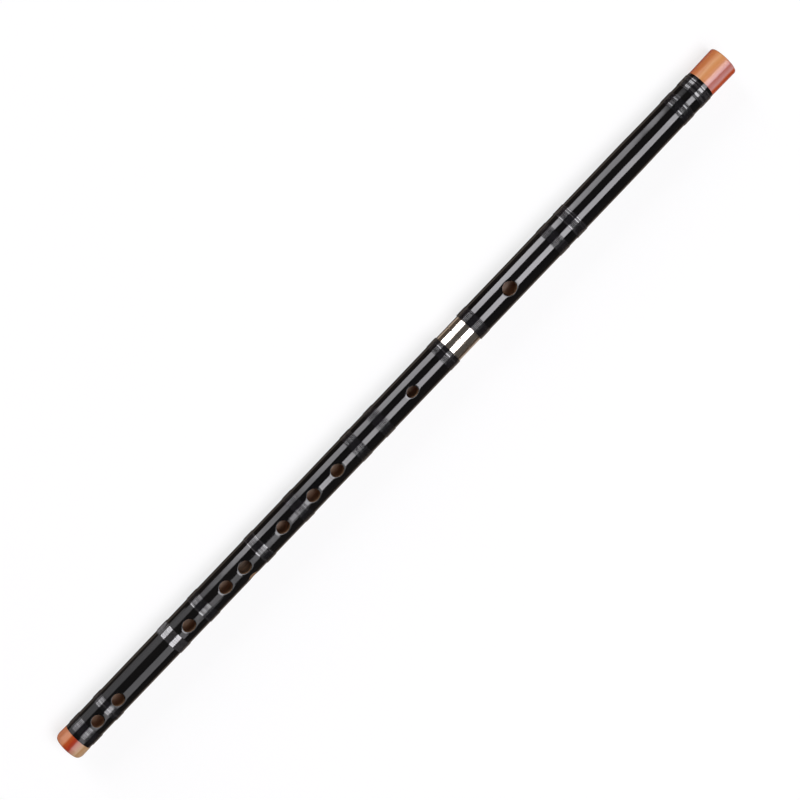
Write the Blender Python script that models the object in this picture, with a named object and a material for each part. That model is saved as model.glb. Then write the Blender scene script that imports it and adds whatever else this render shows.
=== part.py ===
"""Dizi: a two-piece transverse bamboo flute with a metal tuning joint.

The flute lies along X with its head at +X and its finger holes facing up (+Z). It rests on
the thread windings, with Z = 0 on the surface and X = 0 at the middle of its length.
Sizes are in millimetres and become metres when a mesh is made.
Stations are measured along the bore axis from the joint, where the two metal ferrules meet.
"""
import math

import bmesh
import bpy

MM = 0.001
SEGMENTS = 32
HOLE_SEGMENTS = 24
SHARP_EDGE_DEGREES = 30.0

# Bamboo tube: one straight bore, and walls that thin towards both ends
BORE_D = 17.0
BODY_WALL_AT_JOINT = 3.35
BODY_WALL_AT_FOOT = 2.85
HEAD_WALL_AT_JOINT = 3.4
HEAD_WALL_AT_NECK = 3.12
HEAD_WALL_AT_END = 2.95
NECK_START = 180.0
NECK_LENGTH = 16.0
NECK_STEPS = 4

# What a maker marks along each section, from the joint outwards: kind and length
BODY_LAYOUT = (
    ("binding", 9.5),
    ("plain", 25.1),
    ("membrane_hole", 9.1),
    ("plain", 22.0),
    ("binding", 9.1),
    ("plain", 14.5),
    ("binding", 9.1),
    ("plain", 11.9),
    ("finger_hole", 10.0),
    ("plain", 14.2),
    ("finger_hole", 10.0),
    ("plain", 3.7),
    ("binding", 8.9),
    ("plain", 8.1),
    ("finger_hole", 10.0),
    ("plain", 12.7),
    ("binding", 8.7),
    ("plain", 7.4),
    ("finger_hole", 10.0),
    ("plain", 9.3),
    ("finger_hole", 10.0),
    ("plain", 11.5),
    ("binding", 9.3),
    ("plain", 6.3),
    ("finger_hole", 10.0),
    ("plain", 4.7),
    ("binding", 9.4),
    ("plain", 48.0),
    ("vent", 9.6),
    ("plain", 0.8),
    ("binding", 7.3),
    ("plain", 3.0),
    ("vent", 9.6),
    ("plain", 1.9),
    ("binding", 9.4),
    ("plain", 3.2),
)
HEAD_LAYOUT = (
    ("binding", 9.3),
    ("plain", 24.4),
    ("blow_hole", 11.1),
    ("plain", 36.7),
    ("binding", 9.1),
    ("plain", 8.3),
    ("binding", 9.4),
    ("plain", 99.8),
    ("binding", 10.0),
    ("plain", 6.9),
    ("binding", 9.5),
    ("plain", 2.4),
)

# Holes: width across the tube, and how far round from the finger holes the others sit
HOLE_WIDTH = {"membrane_hole": 7.5, "finger_hole": 8.8, "vent": 8.6, "blow_hole": 9.8}
BLOW_HOLE_TURN = 4.4
SIDE_HOLE_D = 8.0
SIDE_HOLE_TURN = -66.0
SIDE_HOLE_FINGER_HOLE = 3
SIDE_HOLE_OFFSET = 1.1
REAR_VENT_D = 6.0
REAR_VENT_TURN = 180.0
REAR_VENT_SETBACKS = (15.7, 29.7)

# Each hole's drill runs out from the bore axis between these shares of the bore radius
DRILL_FROM = 0.45
DRILL_TO = 2.0

# Thread bindings, each wound in a shallow groove turned in the bamboo
GROOVE_DEPTH = 0.65
THREAD_PROUD = 0.47
THREAD_WIDTH = 1.1
THREAD_GAP = 0.45
THREAD_POINTS = 16

# Metal joint: ferrules outside, tenon in the body section, sleeve in the head section
BODY_FERRULE_LENGTH = 10.8
HEAD_FERRULE_LENGTH = 10.0
FERRULE_STEP = 0.35
FERRULE_EDGE = 0.25
TENON_STEP = 0.6
TENON_WALL = 0.8
TENON_REACH = 30.0
TENON_ROOT = 25.0
TENON_LEAD = 0.4
SLEEVE_WALL = 0.7
SLEEVE_SPARE = 6.0

# End rings of banded resin, on a spigot turned on the bamboo
CAP_WALL = 1.3
FOOT_CAP_LENGTH = 11.3
FOOT_CAP_FLOOR = 3.0
FOOT_CAP_ROUND = 1.8
HEAD_CAP_LENGTH = 23.7
HEAD_CAP_FLOOR = 4.0
HEAD_CAP_ROUND = 1.4
HEAD_CAP_INSET = 0.2
HEAD_CAP_FLARE = 0.24
CAP_HOLE_EDGE = 0.3
ROUND_STEPS = 4

# Cork stopper in the head bore, just beyond the blow hole
STOPPER_DISTANCE = 12.0
STOPPER_LENGTH = 16.0
STOPPER_EDGE = 0.8

# The space left where two pieces meet
CLEARANCE = 0.3

MATERIALS = {
    "lacquer": ((0.012, 0.012, 0.014), 0.10, 0.0),
    "thread": ((0.03, 0.03, 0.034), 0.35, 0.0),
    "metal": ((0.80, 0.77, 0.71), 0.12, 1.0),
    "resin": ((0.78, 0.36, 0.16), 0.16, 0.0),
    "cork": ((0.50, 0.33, 0.18), 0.85, 0.0),
}


def clear_scene():
    """Start from an empty scene."""
    for item in list(bpy.data.objects):
        bpy.data.objects.remove(item, do_unlink=True)


def make_materials():
    """Make one Principled material for each finish."""
    made = {}
    for name, (colour, roughness, metallic) in MATERIALS.items():
        material = bpy.data.materials.new(name)
        material.use_nodes = True
        shader = material.node_tree.nodes["Principled BSDF"]
        shader.inputs["Base Color"].default_value = (*colour, 1.0)
        shader.inputs["Roughness"].default_value = roughness
        shader.inputs["Metallic"].default_value = metallic
        made[name] = material
    return made


def stretches(layout, start):
    """List (kind, near, far) stations for a layout that begins at a station."""
    found = []
    station = start
    for kind, length in layout:
        found.append((kind, station, station + length))
        station += length
    return found


def of_kind(marks, kind):
    """List the (near, far) stations of one kind of stretch."""
    return [(near, far) for what, near, far in marks if what == kind]


BODY_MARKS = stretches(BODY_LAYOUT, BODY_FERRULE_LENGTH)
HEAD_MARKS = stretches(HEAD_LAYOUT, HEAD_FERRULE_LENGTH)
BODY_SHOULDER = BODY_MARKS[-1][2]
HEAD_SHOULDER = HEAD_MARKS[-1][2]
BODY_END = BODY_SHOULDER + FOOT_CAP_LENGTH
HEAD_END = HEAD_SHOULDER + HEAD_CAP_LENGTH
JOINT_X = 0.5 * (BODY_END - HEAD_END)

BORE_R = 0.5 * BORE_D
TENON_INNER_R = BORE_R - TENON_STEP
TENON_OUTER_R = TENON_INNER_R + TENON_WALL
SLEEVE_INNER_R = TENON_OUTER_R + CLEARANCE
SLEEVE_OUTER_R = SLEEVE_INNER_R + SLEEVE_WALL
SLEEVE_DEPTH = TENON_REACH + SLEEVE_SPARE


def body_radius(station):
    """Outer radius of the body tube: a straight taper from the joint to the foot."""
    share = (station - BODY_FERRULE_LENGTH) / (BODY_SHOULDER - BODY_FERRULE_LENGTH)
    return BORE_R + BODY_WALL_AT_JOINT + share * (BODY_WALL_AT_FOOT - BODY_WALL_AT_JOINT)


def head_radius(station):
    """Outer radius of the head tube: straight, then a soft neck, then a slight taper."""
    neck_end = NECK_START + NECK_LENGTH
    if station <= NECK_START:
        return BORE_R + HEAD_WALL_AT_JOINT
    if station < neck_end:
        ease = 0.5 - 0.5 * math.cos(math.pi * (station - NECK_START) / NECK_LENGTH)
        return BORE_R + HEAD_WALL_AT_JOINT + ease * (HEAD_WALL_AT_NECK - HEAD_WALL_AT_JOINT)
    share = (station - neck_end) / (HEAD_SHOULDER - neck_end)
    return BORE_R + HEAD_WALL_AT_NECK + share * (HEAD_WALL_AT_END - HEAD_WALL_AT_NECK)


def body_x(station):
    """Place a station of the body section along the flute."""
    return JOINT_X - station


def head_x(station):
    """Place a station of the head section along the flute."""
    return JOINT_X + station


def thread_radius(tube_radius):
    """Outer radius of a winding at its corners."""
    return tube_radius + THREAD_PROUD


def widest_winding():
    """Outer radius of the thickest winding, on which the flute lies."""
    radii = [thread_radius(body_radius(near)) for near, far in of_kind(BODY_MARKS, "binding")]
    radii += [thread_radius(head_radius(near)) for near, far in of_kind(HEAD_MARKS, "binding")]
    return max(radii)


# A winding has a level facet at its lowest point, so the axis is this high
AXIS_HEIGHT = widest_winding() * math.cos(math.pi / THREAD_POINTS)


def add_mesh(name, mesh_data, material, holder):
    """Turn a bmesh in millimetres into a named object on a holder."""
    bmesh.ops.recalc_face_normals(mesh_data, faces=mesh_data.faces)
    bmesh.ops.scale(mesh_data, vec=(MM, MM, MM), verts=mesh_data.verts)
    mesh = bpy.data.meshes.new(name)
    mesh_data.to_mesh(mesh)
    mesh_data.free()
    piece = bpy.data.objects.new(name, mesh)
    bpy.context.scene.collection.objects.link(piece)
    piece.parent = holder
    piece.location.x = -holder.location.x
    if material is not None:
        mesh.materials.append(material)
        mesh.shade_smooth()
        mesh.set_sharp_from_angle(angle=math.radians(SHARP_EDGE_DEGREES))
    return piece


def ring_point(x, radius, angle):
    """Point on a circle round the bore axis; angle 0 is straight up."""
    return (x, radius * math.sin(angle), radius * math.cos(angle))


def add_ring(mesh_data, x, radius):
    """Add a ring of points round the bore axis, with a facet and not a point straight up."""
    angles = [2.0 * math.pi * (k + 0.5) / SEGMENTS for k in range(SEGMENTS)]
    return [mesh_data.verts.new(ring_point(x, radius, angle)) for angle in angles]


def turned(name, profile, material, holder):
    """Revolve a closed outline of (x, radius) points round the bore axis."""
    mesh_data = bmesh.new()
    rings = [add_ring(mesh_data, x, radius) for x, radius in profile]
    for i, ring in enumerate(rings):
        after = rings[(i + 1) % len(rings)]
        for k in range(SEGMENTS):
            m = (k + 1) % SEGMENTS
            mesh_data.faces.new((ring[k], ring[m], after[m], after[k]))
    return add_mesh(name, mesh_data, material, holder)


def rounded_corner(x, radius, size, direction):
    """Quarter-round corner of a turned outline, from the side face to the end face.

    The corner would be at (x, radius); direction is the sign of the end face's normal.
    """
    points = []
    for i in range(ROUND_STEPS + 1):
        angle = 0.5 * math.pi * i / ROUND_STEPS
        along = x - direction * size * (1.0 - math.sin(angle))
        points.append((along, radius - size * (1.0 - math.cos(angle))))
    return points


def hole_cutter(name, x, length, width, turn_degrees, holder):
    """Oval drill through one wall of the tube, turned round the axis from straight up."""
    turn = math.radians(turn_degrees)
    mesh_data = bmesh.new()
    rings = []
    for reach in (DRILL_FROM * BORE_R, DRILL_TO * BORE_R):
        ring = []
        for k in range(HOLE_SEGMENTS):
            angle = 2.0 * math.pi * k / HOLE_SEGMENTS
            along = 0.5 * length * math.cos(angle)
            across = 0.5 * width * math.sin(angle)
            y = across * math.cos(turn) + reach * math.sin(turn)
            z = reach * math.cos(turn) - across * math.sin(turn)
            ring.append(mesh_data.verts.new((x + along, y, z)))
        rings.append(ring)
    for k in range(HOLE_SEGMENTS):
        m = (k + 1) % HOLE_SEGMENTS
        mesh_data.faces.new((rings[0][k], rings[0][m], rings[1][m], rings[1][k]))
    mesh_data.faces.new(rings[0])
    mesh_data.faces.new(rings[1])
    cutter = add_mesh(name, mesh_data, None, holder)
    cutter.hide_render = True
    cutter.display_type = "WIRE"
    return cutter


def cut(piece, cutter):
    """Take a cutter's shape out of a piece."""
    modifier = piece.modifiers.new(cutter.name, "BOOLEAN")
    modifier.operation = "DIFFERENCE"
    modifier.solver = "EXACT"
    modifier.object = cutter


def middle(near, far):
    """Middle of a stretch."""
    return 0.5 * (near + far)


def outer_outline(marks, place, radius_at, extra_stations):
    """Outer outline of a tube from the joint outwards, with a groove for each binding.

    A binding beside the ferrule has no wall on that side: its groove is open there.
    """
    first = marks[0][1]
    points = []
    for near, far in of_kind(marks, "binding"):
        if near > first:
            points.append((near, 0.0))
        points.append((max(near, first + CLEARANCE), GROOVE_DEPTH))
        points.append((far, GROOVE_DEPTH))
        points.append((far, 0.0))
    for station in extra_stations:
        points.append((station, 0.0))
    points.sort(key=lambda point: point[0])
    return [(place(station), radius_at(station) - depth) for station, depth in points]


def body_tube(materials, holder):
    """Long bamboo section with the membrane, finger, side and vent holes."""
    shoulder_r = body_radius(BODY_SHOULDER)
    spigot_r = shoulder_r - CAP_WALL - CLEARANCE
    spigot_end = BODY_END - FOOT_CAP_FLOOR - CLEARANCE
    profile = outer_outline(BODY_MARKS, body_x, body_radius, ())
    profile.append((body_x(BODY_SHOULDER), shoulder_r))
    profile.append((body_x(BODY_SHOULDER), spigot_r))
    profile.append((body_x(spigot_end), spigot_r))
    profile.append((body_x(spigot_end), BORE_R))
    profile.append((body_x(TENON_ROOT + CLEARANCE), BORE_R))
    profile.append((body_x(TENON_ROOT + CLEARANCE), TENON_OUTER_R + CLEARANCE))
    profile.append((body_x(BODY_FERRULE_LENGTH + CLEARANCE), TENON_OUTER_R + CLEARANCE))
    tube = turned("body_tube", profile, materials["lacquer"], holder)
    for kind in ("membrane_hole", "finger_hole", "vent"):
        for i, (near, far) in enumerate(of_kind(BODY_MARKS, kind)):
            name = f"{kind}_cutter_{i + 1}"
            place = body_x(middle(near, far))
            cut(tube, hole_cutter(name, place, far - near, HOLE_WIDTH[kind], 0.0, holder))
    finger_holes = of_kind(BODY_MARKS, "finger_hole")[::-1]
    side_x = body_x(middle(*finger_holes[SIDE_HOLE_FINGER_HOLE - 1]) + SIDE_HOLE_OFFSET)
    side = hole_cutter("side_hole_cutter", side_x, SIDE_HOLE_D, SIDE_HOLE_D, SIDE_HOLE_TURN, holder)
    cut(tube, side)
    first_vent = middle(*of_kind(BODY_MARKS, "vent")[0])
    for i, setback in enumerate(REAR_VENT_SETBACKS):
        name = f"rear_vent_cutter_{i + 1}"
        place = body_x(first_vent - setback)
        cut(tube, hole_cutter(name, place, REAR_VENT_D, REAR_VENT_D, REAR_VENT_TURN, holder))
    return tube


def head_tube(materials, holder):
    """Short bamboo section with the blow hole."""
    shoulder_r = head_radius(HEAD_SHOULDER)
    spigot_r = shoulder_r - HEAD_CAP_INSET - CAP_WALL - CLEARANCE
    spigot_end = HEAD_END - HEAD_CAP_FLOOR - CLEARANCE
    neck = [NECK_START + NECK_LENGTH * i / NECK_STEPS for i in range(NECK_STEPS + 1)]
    profile = outer_outline(HEAD_MARKS, head_x, head_radius, neck)
    profile.append((head_x(HEAD_SHOULDER), shoulder_r))
    profile.append((head_x(HEAD_SHOULDER), spigot_r))
    profile.append((head_x(spigot_end), spigot_r))
    profile.append((head_x(spigot_end), BORE_R))
    profile.append((head_x(SLEEVE_DEPTH + CLEARANCE), BORE_R))
    profile.append((head_x(SLEEVE_DEPTH + CLEARANCE), SLEEVE_OUTER_R + CLEARANCE))
    profile.append((head_x(HEAD_FERRULE_LENGTH + CLEARANCE), SLEEVE_OUTER_R + CLEARANCE))
    tube = turned("head_tube", profile, materials["lacquer"], holder)
    near, far = of_kind(HEAD_MARKS, "blow_hole")[0]
    width = HOLE_WIDTH["blow_hole"]
    place = head_x(middle(near, far))
    cut(tube, hole_cutter("blow_hole_cutter", place, far - near, width, BLOW_HOLE_TURN, holder))
    return tube


def winding(name, near, far, place, radius_at, material, holder):
    """One unbroken thread wound in its groove; returns the object and its least own gap."""
    tube_r = radius_at(middle(near, far))
    inner_r = (tube_r - GROOVE_DEPTH + CLEARANCE) / math.cos(math.pi / THREAD_POINTS)
    outer_r = thread_radius(tube_r)
    pitch = THREAD_WIDTH + THREAD_GAP
    room = far - near - 2.0 * CLEARANCE - THREAD_WIDTH
    steps = math.floor(room / pitch * THREAD_POINTS)
    advance = pitch / THREAD_POINTS
    first_x = place(middle(near, far)) - 0.5 * steps * advance
    mesh_data = bmesh.new()
    rings = []
    for i in range(steps + 1):
        angle = 2.0 * math.pi * (i + 0.5) / THREAD_POINTS
        x = first_x + i * advance
        low_x = x - 0.5 * THREAD_WIDTH
        high_x = x + 0.5 * THREAD_WIDTH
        corners = ((low_x, inner_r), (high_x, inner_r), (high_x, outer_r), (low_x, outer_r))
        rings.append([ring_point(*corner, angle) for corner in corners])
    gap = least_gap(rings)
    verts = [[mesh_data.verts.new(point) for point in ring] for ring in rings]
    for ring, after in zip(verts, verts[1:]):
        for k in range(4):
            m = (k + 1) % 4
            mesh_data.faces.new((ring[k], ring[m], after[m], after[k]))
    mesh_data.faces.new(verts[0])
    mesh_data.faces.new(verts[-1])
    return add_mesh(name, mesh_data, material, holder), gap


def least_gap(rings):
    """Least distance between corners of a thread that lie at least half a turn apart."""
    least = math.inf
    half_turn = THREAD_POINTS // 2
    for i, ring in enumerate(rings):
        for other in rings[i + half_turn:]:
            for point in ring:
                for far_point in other:
                    least = min(least, math.dist(point, far_point))
    return least


def ferrule(name, length, place, inner_r, outer_r, material, holder):
    """Metal collar beside the joint, with its two outer edges broken."""
    near = 0.5 * CLEARANCE
    profile = [
        (place(near), inner_r),
        (place(near), outer_r - FERRULE_EDGE),
        (place(near + FERRULE_EDGE), outer_r),
        (place(length - FERRULE_EDGE), outer_r),
        (place(length), outer_r - FERRULE_EDGE),
        (place(length), inner_r),
    ]
    return turned(name, profile, material, holder)


def tenon_tube(material, holder):
    """Male tube: its root sits in the body section and its tip enters the head's sleeve."""
    profile = [
        (head_x(TENON_REACH), TENON_INNER_R),
        (head_x(TENON_REACH), TENON_OUTER_R - TENON_LEAD),
        (head_x(TENON_REACH - 2.0 * TENON_LEAD), TENON_OUTER_R),
        (body_x(TENON_ROOT), TENON_OUTER_R),
        (body_x(TENON_ROOT), TENON_INNER_R),
    ]
    return turned("tenon_tube", profile, material, holder)


def socket_sleeve(material, holder):
    """Female tube that lines the head section's end and runs on the tenon."""
    mouth = 0.5 * CLEARANCE
    profile = [
        (head_x(mouth), SLEEVE_INNER_R + 0.5 * TENON_LEAD),
        (head_x(mouth), SLEEVE_OUTER_R),
        (head_x(SLEEVE_DEPTH), SLEEVE_OUTER_R),
        (head_x(SLEEVE_DEPTH), SLEEVE_INNER_R),
        (head_x(mouth + TENON_LEAD), SLEEVE_INNER_R),
    ]
    return turned("socket_sleeve", profile, material, holder)


def foot_cap(material, holder):
    """Open resin ring at the foot, rounded at its outer corner."""
    outer_r = body_radius(BODY_SHOULDER)
    inner_r = outer_r - CAP_WALL
    end_x = body_x(BODY_END)
    floor_x = body_x(BODY_END - FOOT_CAP_FLOOR)
    near_x = body_x(BODY_SHOULDER + CLEARANCE)
    profile = [(near_x, inner_r), (near_x, outer_r)]
    profile += rounded_corner(end_x, outer_r, FOOT_CAP_ROUND, -1.0)
    profile.append((end_x, BORE_R + CAP_HOLE_EDGE))
    profile.append((end_x + CAP_HOLE_EDGE, BORE_R))
    profile.append((floor_x, BORE_R))
    profile.append((floor_x, inner_r))
    return turned("foot_cap", profile, material, holder)


def head_cap(material, holder):
    """Open resin ring at the head, which flares slightly towards its end."""
    near_r = head_radius(HEAD_SHOULDER) - HEAD_CAP_INSET
    end_r = near_r + HEAD_CAP_FLARE
    inner_r = near_r - CAP_WALL
    near_x = head_x(HEAD_SHOULDER + CLEARANCE)
    end_x = head_x(HEAD_END)
    floor_x = head_x(HEAD_END - HEAD_CAP_FLOOR)
    profile = [(near_x, inner_r), (near_x, near_r)]
    profile += rounded_corner(end_x, end_r, HEAD_CAP_ROUND, 1.0)
    profile.append((end_x, BORE_R + CAP_HOLE_EDGE))
    profile.append((end_x - CAP_HOLE_EDGE, BORE_R))
    profile.append((floor_x, BORE_R))
    profile.append((floor_x, inner_r))
    return turned("head_cap", profile, material, holder)


def head_stopper(material, holder):
    """Cork pressed into the head bore to close the air column beside the blow hole."""
    radius = BORE_R - CLEARANCE
    blow = middle(*of_kind(HEAD_MARKS, "blow_hole")[0])
    near_x = head_x(blow + STOPPER_DISTANCE)
    far_x = head_x(blow + STOPPER_DISTANCE + STOPPER_LENGTH)
    mesh_data = bmesh.new()
    outline = (
        (near_x, radius - STOPPER_EDGE),
        (near_x + STOPPER_EDGE, radius),
        (far_x - STOPPER_EDGE, radius),
        (far_x, radius - STOPPER_EDGE),
    )
    rings = [add_ring(mesh_data, x, ring_r) for x, ring_r in outline]
    for ring, after in zip(rings, rings[1:]):
        for k in range(SEGMENTS):
            m = (k + 1) % SEGMENTS
            mesh_data.faces.new((ring[k], ring[m], after[m], after[k]))
    mesh_data.faces.new(rings[0])
    mesh_data.faces.new(rings[-1])
    return add_mesh("head_stopper", mesh_data, material, holder)


def holder_at(name, x):
    """Empty on the bore axis that carries the pieces of one section."""
    holder = bpy.data.objects.new(name, None)
    holder.location = (x * MM, 0.0, AXIS_HEIGHT * MM)
    bpy.context.scene.collection.objects.link(holder)
    return holder


def bindings(prefix, marks, place, radius_at, material, holder):
    """Wind a thread in every groove of a section, counted from the joint outwards."""
    gaps = []
    for i, (near, far) in enumerate(of_kind(marks, "binding")):
        piece, gap = winding(f"{prefix}_{i + 1}", near, far, place, radius_at, material, holder)
        gaps.append(gap)
    return gaps


def build():
    """Build the flute at rest, with the joint pushed home."""
    clear_scene()
    materials = make_materials()
    body = holder_at("body_section", 0.0)
    sleeve = holder_at("joint_sleeve", JOINT_X)
    head = holder_at("head_section", JOINT_X)
    metal = materials["metal"]
    body_tube(materials, body)
    foot_cap(materials["resin"], body)
    ferrule_r = BORE_R + BODY_WALL_AT_JOINT - FERRULE_STEP
    around_tenon = TENON_OUTER_R + CLEARANCE
    ferrule("body_ferrule", BODY_FERRULE_LENGTH, body_x, around_tenon, ferrule_r, metal, body)
    tenon_tube(metal, body)
    socket_sleeve(metal, sleeve)
    head_tube(materials, head)
    head_cap(materials["resin"], head)
    around_sleeve = SLEEVE_OUTER_R + CLEARANCE
    ferrule("head_ferrule", HEAD_FERRULE_LENGTH, head_x, around_sleeve, ferrule_r, metal, head)
    head_stopper(materials["cork"], head)
    thread = materials["thread"]
    gaps = bindings("body_binding", BODY_MARKS, body_x, body_radius, thread, body)
    gaps += bindings("head_binding", HEAD_MARKS, head_x, head_radius, thread, head)
    print(f"least gap of a winding to itself: {min(gaps):.2f} mm")


build()
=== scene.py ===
"""Looks of a two-piece transverse bamboo flute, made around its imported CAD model.

Sizes are in millimetres and become metres when a mesh, lamp or camera is made.
The flute lies along X with its head at +X and its finger holes facing up (+Z).
An angle round the bore axis is 0 straight up and grows towards +Y.
"""
import math
import random
from collections import namedtuple

import bmesh
import bpy
from mathutils import Matrix, Vector


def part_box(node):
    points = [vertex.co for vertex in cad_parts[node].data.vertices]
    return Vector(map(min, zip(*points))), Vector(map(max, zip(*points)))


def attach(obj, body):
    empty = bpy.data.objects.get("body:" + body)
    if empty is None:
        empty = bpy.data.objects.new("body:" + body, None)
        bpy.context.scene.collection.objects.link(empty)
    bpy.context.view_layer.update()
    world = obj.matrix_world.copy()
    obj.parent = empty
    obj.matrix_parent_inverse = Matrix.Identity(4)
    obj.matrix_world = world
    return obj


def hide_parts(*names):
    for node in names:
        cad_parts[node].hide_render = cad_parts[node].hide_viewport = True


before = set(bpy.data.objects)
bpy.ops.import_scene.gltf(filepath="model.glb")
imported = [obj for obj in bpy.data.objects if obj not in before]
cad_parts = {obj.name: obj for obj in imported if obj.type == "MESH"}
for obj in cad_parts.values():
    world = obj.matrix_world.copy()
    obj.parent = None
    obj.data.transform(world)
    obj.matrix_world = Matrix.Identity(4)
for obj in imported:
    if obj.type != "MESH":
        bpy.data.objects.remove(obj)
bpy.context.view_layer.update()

MM = 0.001
TAU = 2.0 * math.pi
# Degrees above which an edge shades sharp: on plain pieces, and on thread
PLAIN_SHARP = 40.0
THREAD_SHARP = 50.0

# Bamboo: outer radii of the two tapering sections, the neck of the head, the shoulders where the
# end rings sit, and the steps that are turned at the ends of the two sections
BORE_R = 8.5
BODY_R_JOINT = 11.85
BODY_R_FOOT = 11.35
HEAD_R_JOINT = 11.9
HEAD_R_NECK = 11.62
HEAD_R_END = 11.45
NECK_START_X = 236.4
NECK_END_X = 268.4
FOOT_SHOULDER_X = -323.7
HEAD_SHOULDER_X = 311.3
FOOT_SPIGOT_X = -331.7
FOOT_SPIGOT_R = 9.75
HEAD_SPIGOT_X = 330.7
HEAD_SPIGOT_R = 9.65
TENON_SEAT_X = 39.1
TENON_SEAT_R = 9.0
SLEEVE_SEAT_X = 100.7
SLEEVE_SEAT_R = 10.0
# Waves of real bamboo: height, waves round the tube, phase, and length along it for one radian
WAVES = (
    (0.045, 2, -1.1, 71.0),
    (0.022, 3, 0.8, -47.0),
    (0.012, 1, 0.0, 19.0),
    (0.010, 2, -0.25 * TAU, -11.0),
)
# Turned grooves: depth, and the round over each edge, which the rims of the holes have too,
# as shares of its size out from the corner and down from the surface
GROOVE_DEPTH = 0.65
GROOVE_EDGE = 0.16
EDGE_ROUND = ((0.45, 0.12), (0.12, 0.45), (0.0, 1.0))

# Thread bindings: the groove that each one fills, from low x to high x
BODY_BINDINGS = (
    (44.1, 53.3),
    (-21.2, -12.1),
    (-44.8, -35.7),
    (-103.5, -94.6),
    (-143.0, -134.3),
    (-200.5, -191.2),
    (-230.9, -221.5),
    (-296.6, -289.3),
    (-320.5, -311.1),
)
HEAD_BINDINGS = (
    (74.7, 83.7),
    (155.9, 165.0),
    (173.3, 182.7),
    (282.5, 292.5),
    (299.4, 308.9),
)
# One turn: its wanted pitch and the share of it that the thread fills, the height of its crown
# above the bamboo, the depth of its floor below the bamboo and of its valleys below the crown,
# half the crown's width in pitches, and the places of its points as shares of that
THREAD_PITCH = 0.95
THREAD_FILL = 0.99
THREAD_PROUD = 0.40
THREAD_FLOOR = 0.5
THREAD_VALLEY = 0.24
THREAD_EDGE = 0.43
CROWN_PLACES = (-1.0, -0.67, -0.33, 0.0, 0.33, 0.67, 1.0)
# Steps of one turn, the share of it in which it steps over to the next, and the steps and the
# depth by which each end of the thread is tucked in
THREAD_STEPS = 48
THREAD_JOG = 0.14
TUCK_STEPS = 3.0
TUCK_DEPTH = 0.25
# Uneven winding: the first seeds of the random draws, and the ranges of the lift, the shift in
# pitches, the sag and the lean of each turn
BODY_SEED = 1
HEAD_SEED = 101
THREAD_UNEVEN = 0.03
THREAD_SHIFT = 0.06
THREAD_SAG_LOW = 0.55
THREAD_SAG_HIGH = 1.5
THREAD_TILT = 0.04
# Sag of a turn that lies flat
FLAT_SAG = 0.02
# Degrees from the top, on the flank away from the player, where the crowns become level
FLANK_FROM = 58.0
FLANK_TO = 64.0
# Materials of a thread, by number: the plain thread, and a paler one that paints a highlight
SOUND, PAINTED_HIGHLIGHT = 0, 1
# How the crown of each thread lies: its sag at the edges, its lean towards the head as a slope,
# the places of turns that lie flat, and so show as bright lines, and which turns take the paler
# thread as a painted highlight
NO_TURNS, FLAT_TURNS, ALL_TURNS = 0, 1, 2
Lie = namedtuple("Lie", "sag lean flat worn", defaults=(FLAT_TURNS,))
PLAIN_LIE = Lie(0.17, 0.0, ())
THREAD_LIES = {
    "body_1": Lie(0.18, 0.0, (50.3,)),
    "body_3": Lie(0.19, 0.0, ()),
    "body_4": Lie(0.12, 0.0, ()),
    "body_5": Lie(0.075, 0.10, (-142.6, -134.8)),
    "body_6": Lie(0.075, 0.14, (-200.0,)),
    "body_7": Lie(0.010, 0.155, (), ALL_TURNS),
    "body_8": Lie(0.065, 0.18, (-293.6,)),
    "body_9": Lie(0.070, 0.16, ()),
    "head_2": Lie(0.18, 0.0, ()),
    "head_3": Lie(0.18, -0.02, (173.8, 180.3, 182.3)),
    "head_4": Lie(0.20, -0.02, (284.6, 289.8), NO_TURNS),
    "head_5": Lie(0.18, -0.06, (301.8, 302.7, 305.4, 306.3, 308.2)),
}

# Holes: middle, length, width, turn from straight up, and clear surface before and after it
Hole = namedtuple("Hole", "x length width turn before after", defaults=(0.0, 4.5, 4.5))
FINGER_HOLE = (10.0, 8.8)
FOOT_VENT = (9.6, 8.6)
THIRD_FINGER_HOLE = Hole(-155.4, *FINGER_HOLE)
SIDE_HOLE = Hole(-156.5, 8.0, 8.0, -66.0, 4.4, 6.6)
BODY_HOLES = (
    Hole(14.45, 9.1, 7.5),
    Hole(-61.7, *FINGER_HOLE),
    Hole(-85.9, *FINGER_HOLE, before=3.3),
    Hole(-116.6, *FINGER_HOLE),
    THIRD_FINGER_HOLE,
    Hole(-174.7, *FINGER_HOLE),
    Hole(-211.8, *FINGER_HOLE, before=4.2),
    SIDE_HOLE,
    Hole(-283.7, *FOOT_VENT, before=0.45),
    Hole(-304.4, *FOOT_VENT, before=1.5, after=2.6),
    Hole(-268.0, 6.0, 6.0, 180.0, 2.5, 2.5),
    Hole(-254.0, 6.0, 6.0, 180.0, 2.5, 2.5),
)
HEAD_HOLES = (Hole(113.65, 11.1, 9.8, 4.4),)
# Mesh of a tube: columns round it, the spacing of stations along the outside and the bore, and
# the slack in comparing places
COLUMNS = 96
STATION_SPACING = 1.5
BORE_SPACING = 6.0
SLACK = 1e-6
# Patch of rings round a hole: degrees that it takes beyond the hole, its rings and how they crowd
# towards the rim, the round of the rim, and the places of the rings down the hole's wall
PATCH_MARGIN = 6.0
PATCH_RINGS = 7
PATCH_CROWDING = 1.4
RIM_ROUND = 0.36
WALL_SHARES = (0.1, 0.5)
# The side hole lies beside the third finger hole, so their patches share the room between them
PATCH_COLUMNS = {THIRD_FINGER_HOLE: (-9, 10), SIDE_HOLE: (-26, -10)}
# Materials of a bamboo tube, by number: the outside, bare cuts, the bore and the darker walls of
# the finger holes
LACQUER, CUT, BORE, DARK_WALL = 0, 1, 2, 3
# Surface worked down round each hole: depth at the rim, and how far out it fades
DISH_DEPTH = 0.10
DISH_REACH = 0.85

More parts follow.
